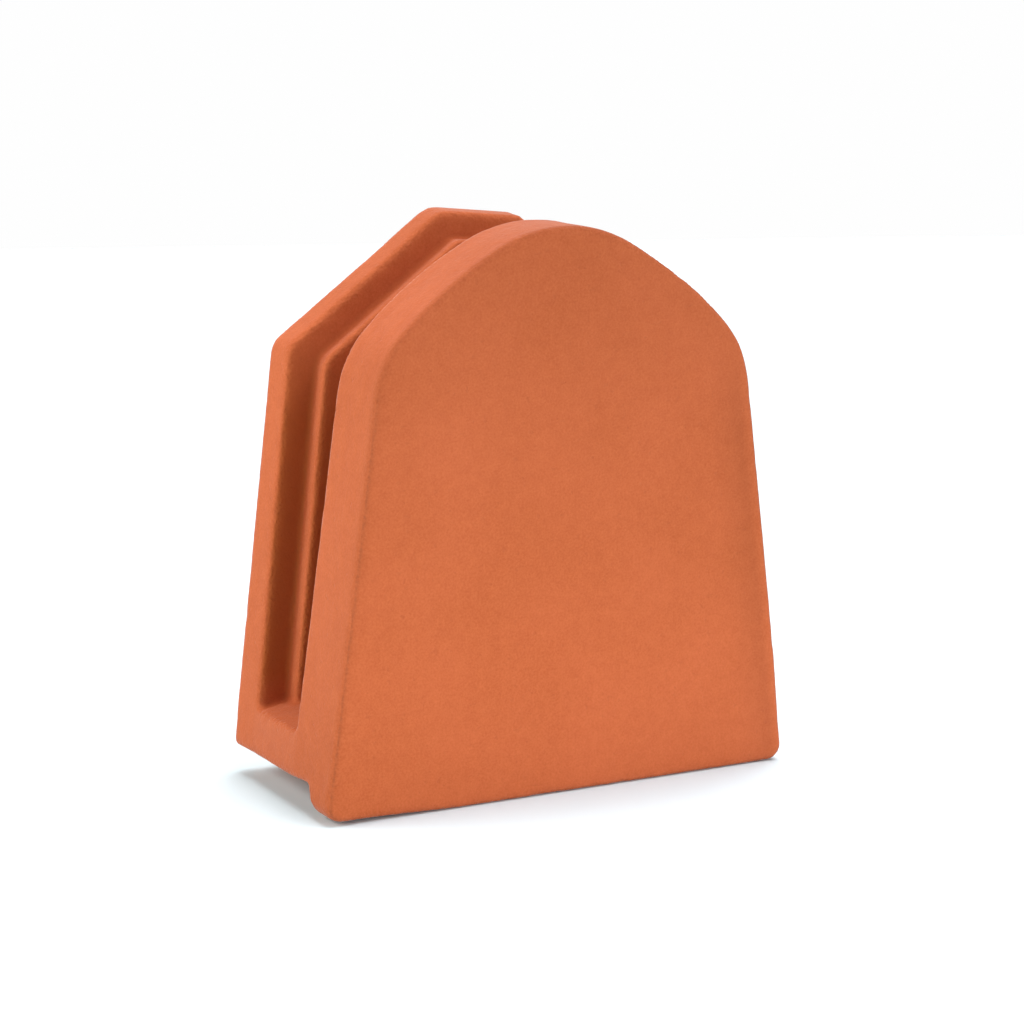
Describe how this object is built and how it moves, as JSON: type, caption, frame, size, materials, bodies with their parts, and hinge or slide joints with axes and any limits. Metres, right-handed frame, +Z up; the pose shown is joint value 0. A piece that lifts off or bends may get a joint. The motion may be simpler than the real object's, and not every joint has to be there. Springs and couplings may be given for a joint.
{
  "type": "verge end tile",
  "caption": "Fired-clay block that closes a roof verge: an arched front plate and an angular rear plate on one base, with a wide channel round the edge between them",
  "frame": {"origin": "middle of the foot, on the surface that the tile stands on", "axes": "X runs across the tile, Y from its arched face to its back, Z up"},
  "size_m": [0.2382, 0.107, 0.2605],
  "materials": {
    "fired_clay": "matt unglazed terracotta, fine sandy grain"
  },
  "bodies": {
    "root": {"end_tile": "fired_clay"}
  },
  "joints": []
}
